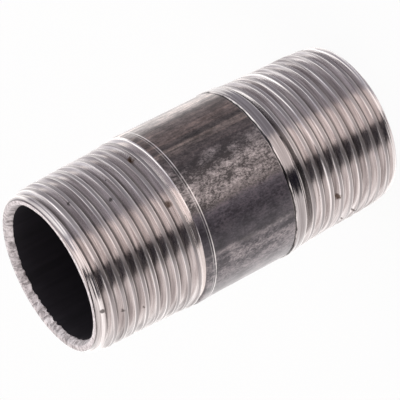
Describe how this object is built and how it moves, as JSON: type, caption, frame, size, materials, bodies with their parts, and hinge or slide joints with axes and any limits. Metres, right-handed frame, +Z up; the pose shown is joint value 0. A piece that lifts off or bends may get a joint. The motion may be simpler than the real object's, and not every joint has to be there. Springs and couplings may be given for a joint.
{
  "type": "pipe nipple",
  "caption": "Short straight piece of steel pipe, open through, with a right-hand taper thread on each end and a plain dark band between them.",
  "frame": {"origin": "centre of the lower end face", "axes": "+Z up along the pipe's axis, from the end with the taller collar to the end with the lower collar; +X and +Y square to it, with nothing on the pipe that favours either"},
  "size_m": [0.0339, 0.0338, 0.0672],
  "materials": {
    "steel": "bare turned threads at both ends, dark mill scale on the band between them"
  },
  "bodies": {
    "root": {"nipple": "steel"}
  },
  "joints": []
}
